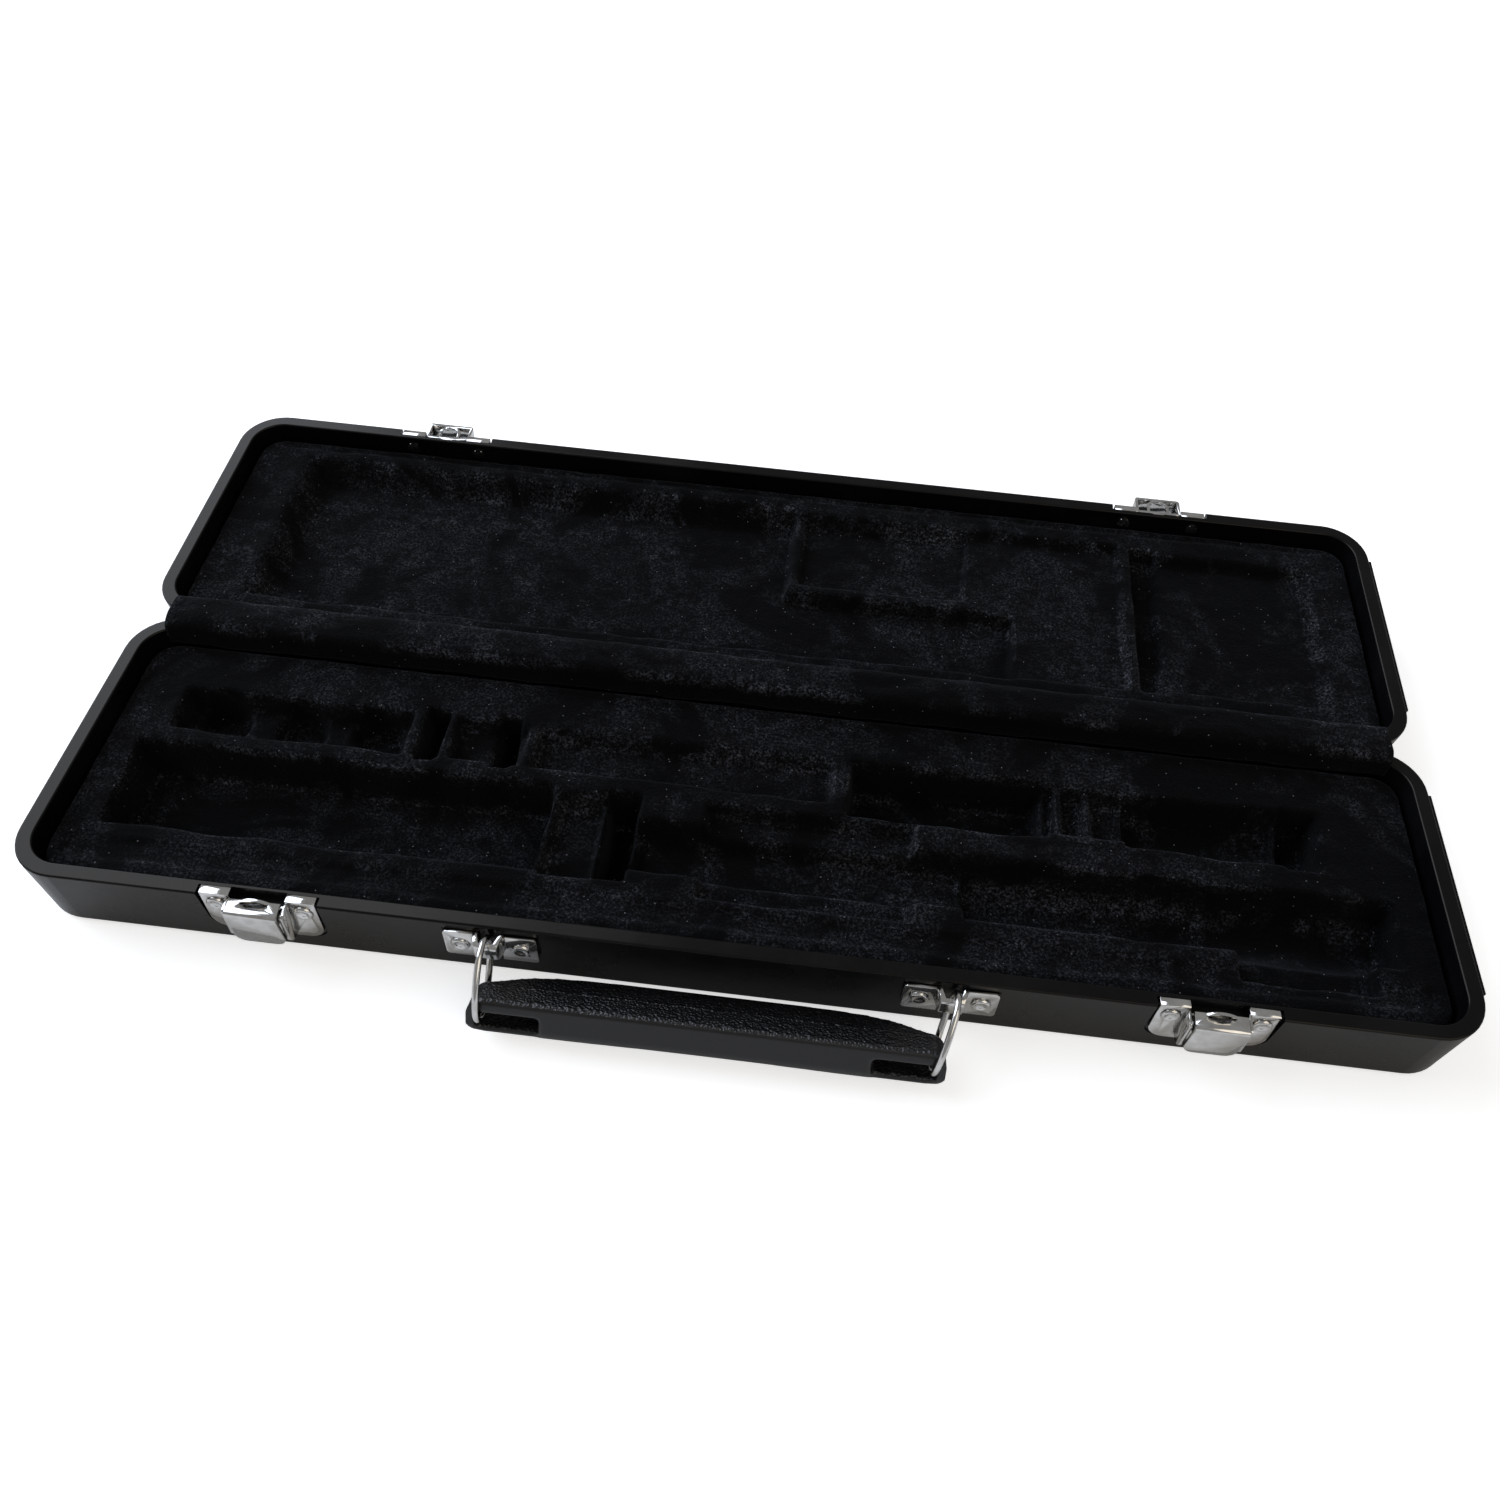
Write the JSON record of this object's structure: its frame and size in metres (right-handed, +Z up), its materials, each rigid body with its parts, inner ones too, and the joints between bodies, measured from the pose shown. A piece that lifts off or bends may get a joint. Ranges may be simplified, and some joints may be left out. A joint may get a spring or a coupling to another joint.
{
  "type": "flute case",
  "caption": "Slim hard case for a dismantled flute, opened flat, with a fitted plush liner, hinged lid, two sprung latches and a swinging handle.",
  "frame": {"origin": "middle of the base's underside, on the table", "axes": "+X along the case to the right as seen from the latch side, +Y towards the hinge and the open lid, +Z up"},
  "size_m": [0.4008, 0.2226, 0.0304],
  "materials": {
    "black_abs": "moulded satin gloss black",
    "black_plush": "short-nap black plush",
    "nickel": "bright nickel plate",
    "spring_steel": "bright spring steel",
    "black_grip": "moulded black, stippled on one face"
  },
  "bodies": {
    "base": {"base_shell": "black_abs", "base_liner": "black_plush", "latch_rivets": "nickel", "bracket_rivets": "nickel", "hinge_base_rivets": "nickel", "hinge_flap": "black_plush", "latch_plate_left": "nickel", "latch_pin_left": "nickel", "latch_spring_left": "spring_steel", "handle_bracket_left": "nickel", "hinge_base_leaf_left": "nickel", "hinge_pin_left": "nickel", "latch_plate_right": "nickel", "latch_pin_right": "nickel", "latch_spring_right": "spring_steel", "handle_bracket_right": "nickel", "hinge_base_leaf_right": "nickel", "hinge_pin_right": "nickel"},
    "lid": {"lid_shell": "black_abs", "lid_liner": "black_plush", "keeper_rivets": "nickel", "hinge_lid_rivets": "nickel", "keeper_left": "nickel", "hinge_lid_leaf_left": "nickel", "keeper_right": "nickel", "hinge_lid_leaf_right": "nickel"},
    "left_latch": {"latch_lever_left": "nickel"},
    "right_latch": {"latch_lever_right": "nickel"},
    "left_ring": {"handle_ring_left": "nickel"},
    "right_ring": {"handle_ring_right": "nickel"},
    "handle": {"handle_grip": "black_grip"}
  },
  "joints": [
    {"name": "lid_hinge", "type": "hinge", "parent": "base", "child": "lid", "pos_m": [0, 0.0496, 0.02655], "axis": [1, 0, 0], "range_deg": [0, 178], "deforming": ["hinge_flap"]},
    {"name": "left_latch_pivot", "type": "hinge", "parent": "base", "child": "left_latch", "pos_m": [-0.1285, -0.0508, 0.0241], "axis": [-1, 0, 0], "range_deg": [0, 40], "stiffness_Nm_per_rad": 0.02, "springref_deg": -11.46, "deforming": ["latch_spring_left"]},
    {"name": "right_latch_pivot", "type": "hinge", "parent": "base", "child": "right_latch", "pos_m": [0.1285, -0.0508, 0.0241], "axis": [-1, 0, 0], "range_deg": [0, 40], "stiffness_Nm_per_rad": 0.02, "springref_deg": -11.46, "deforming": ["latch_spring_right"]},
    {"name": "left_ring_pivot", "type": "hinge", "parent": "base", "child": "left_ring", "pos_m": [-0.0655, -0.05518, 0.0212], "axis": [-1, 0, 0], "range_deg": [0, 125]},
    {"name": "right_ring_pivot", "type": "hinge", "parent": "base", "child": "right_ring", "pos_m": [0.0587, -0.05518, 0.0212], "axis": [-1, 0, 0], "range_deg": [0, 125]},
    {"name": "handle_pivot", "type": "hinge", "parent": "left_ring", "child": "handle", "pos_m": [-0.00485, -0.06186, 0.01323], "axis": [-1, 0, 0], "range_deg": [-4, 30]}
  ],
  "couplings": [
    {"joint": "right_ring_pivot", "follows": "left_ring_pivot", "ratio": 1}
  ]
}
